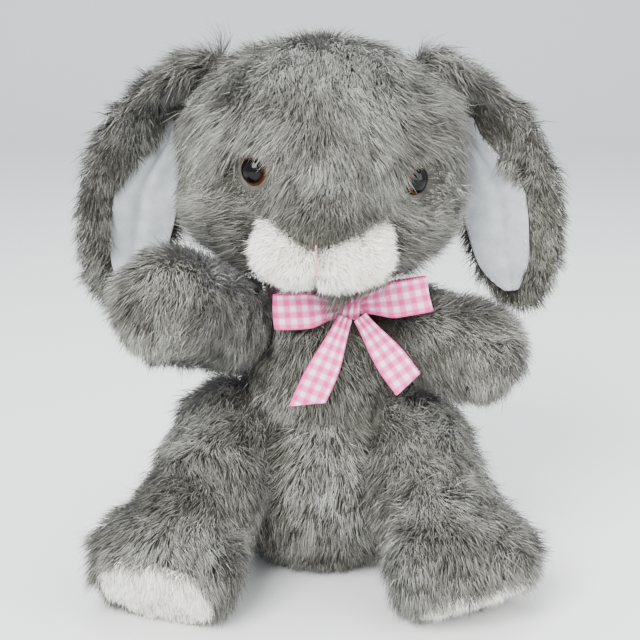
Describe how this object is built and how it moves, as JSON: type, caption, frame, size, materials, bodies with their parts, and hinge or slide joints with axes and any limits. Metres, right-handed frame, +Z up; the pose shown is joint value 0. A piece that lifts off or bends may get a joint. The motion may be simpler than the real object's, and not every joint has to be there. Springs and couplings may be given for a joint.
{
  "type": "stuffed bunny rabbit",
  "caption": "Seated plush rabbit with hanging lined ears, one raised arm, splayed legs with cream soles and a gingham ribbon bow at the neck.",
  "frame": {"origin": "centre of the flat seat under the torso, on the surface the rabbit sits on", "axes": "+Z up, -Y the way the rabbit looks, +X to the right when the rabbit is seen from the front"},
  "size_m": [0.2114, 0.1595, 0.2365],
  "materials": {
    "fur": "long-pile acrylic fur fabric, mottled warm grey with dark roots and pale tips",
    "cream_plush": "short dense cream plush pile",
    "ear_lining": "fine white velour",
    "gingham": "pink and white woven gingham ribbon with a picot edge",
    "pink_thread": "pink embroidery thread",
    "eye_plastic": "polished dark brown and black safety eye",
    "washer_plastic": "white moulded locking washer",
    "filling": "loose white polyester fibre"
  },
  "bodies": {
    "torso": {"torso_shell": "fur", "torso_filling": "filling", "tail": "fur", "neck_ribbon": "gingham", "bow_knot": "gingham", "bow_loop_left": "gingham", "bow_loop_right": "gingham"},
    "head": {"head_shell": "fur", "head_filling": "filling", "muzzle_left": "cream_plush", "muzzle_right": "cream_plush", "muzzle_seam": "pink_thread", "eye_left": "eye_plastic", "eye_right": "eye_plastic", "eye_washer_left": "washer_plastic", "eye_washer_right": "washer_plastic"},
    "ear_left": {"ear_left_back": "fur", "ear_left_lining": "ear_lining"},
    "ear_right": {"ear_right_back": "fur", "ear_right_lining": "ear_lining"},
    "arm_left": {"arm_left_shell": "fur", "arm_left_filling": "filling"},
    "arm_right": {"arm_right_shell": "fur", "arm_right_filling": "filling"},
    "leg_left": {"leg_left_shell": "fur", "leg_left_filling": "filling", "sole_left": "cream_plush"},
    "leg_right": {"leg_right_shell": "fur", "leg_right_filling": "filling", "sole_right": "cream_plush"},
    "bow_tail_left": {"bow_tail_left": "gingham"},
    "bow_tail_right": {"bow_tail_right": "gingham"}
  },
  "joints": [
    {"name": "neck_nod", "type": "hinge", "parent": "torso", "child": "head", "pos_m": [0, 0, 0.14], "axis": [1, 0, 0], "range_deg": [-12, 10], "stiffness_Nm_per_rad": 1.2},
    {"name": "ear_left_lift", "type": "hinge", "parent": "head", "child": "ear_left", "pos_m": [-0.041, 0.004, 0.222], "axis": [0, 1, 0], "range_deg": [-4, 45], "stiffness_Nm_per_rad": 0.12},
    {"name": "ear_right_lift", "type": "hinge", "parent": "head", "child": "ear_right", "pos_m": [0.041, 0.004, 0.222], "axis": [0, -1, 0], "range_deg": [-4, 45], "stiffness_Nm_per_rad": 0.12},
    {"name": "arm_left_swing", "type": "hinge", "parent": "torso", "child": "arm_left", "pos_m": [-0.037, -0.006, 0.112], "axis": [-0.8869, 0.4619, 0], "range_deg": [-40, 8], "stiffness_Nm_per_rad": 0.4},
    {"name": "arm_right_swing", "type": "hinge", "parent": "torso", "child": "arm_right", "pos_m": [0.038, -0.005, 0.11], "axis": [-0.6402, -0.7682, 0], "range_deg": [-12, 20], "stiffness_Nm_per_rad": 0.4},
    {"name": "leg_left_lift", "type": "hinge", "parent": "torso", "child": "leg_left", "pos_m": [-0.038, -0.012, 0.0595], "axis": [-0.9179, 0.3967, 0], "range_deg": [0, 20], "stiffness_Nm_per_rad": 0.3},
    {"name": "leg_right_lift", "type": "hinge", "parent": "torso", "child": "leg_right", "pos_m": [0.037, -0.012, 0.059], "axis": [-0.9344, -0.3563, 0], "range_deg": [0, 20], "stiffness_Nm_per_rad": 0.3},
    {"name": "bow_tail_left_flip", "type": "hinge", "parent": "torso", "child": "bow_tail_left", "pos_m": [0.011, -0.039, 0.121], "axis": [-1, 0, 0], "range_deg": [0, 35]},
    {"name": "bow_tail_right_flip", "type": "hinge", "parent": "torso", "child": "bow_tail_right", "pos_m": [0.017, -0.039, 0.121], "axis": [-1, 0, 0], "range_deg": [0, 35]}
  ]
}
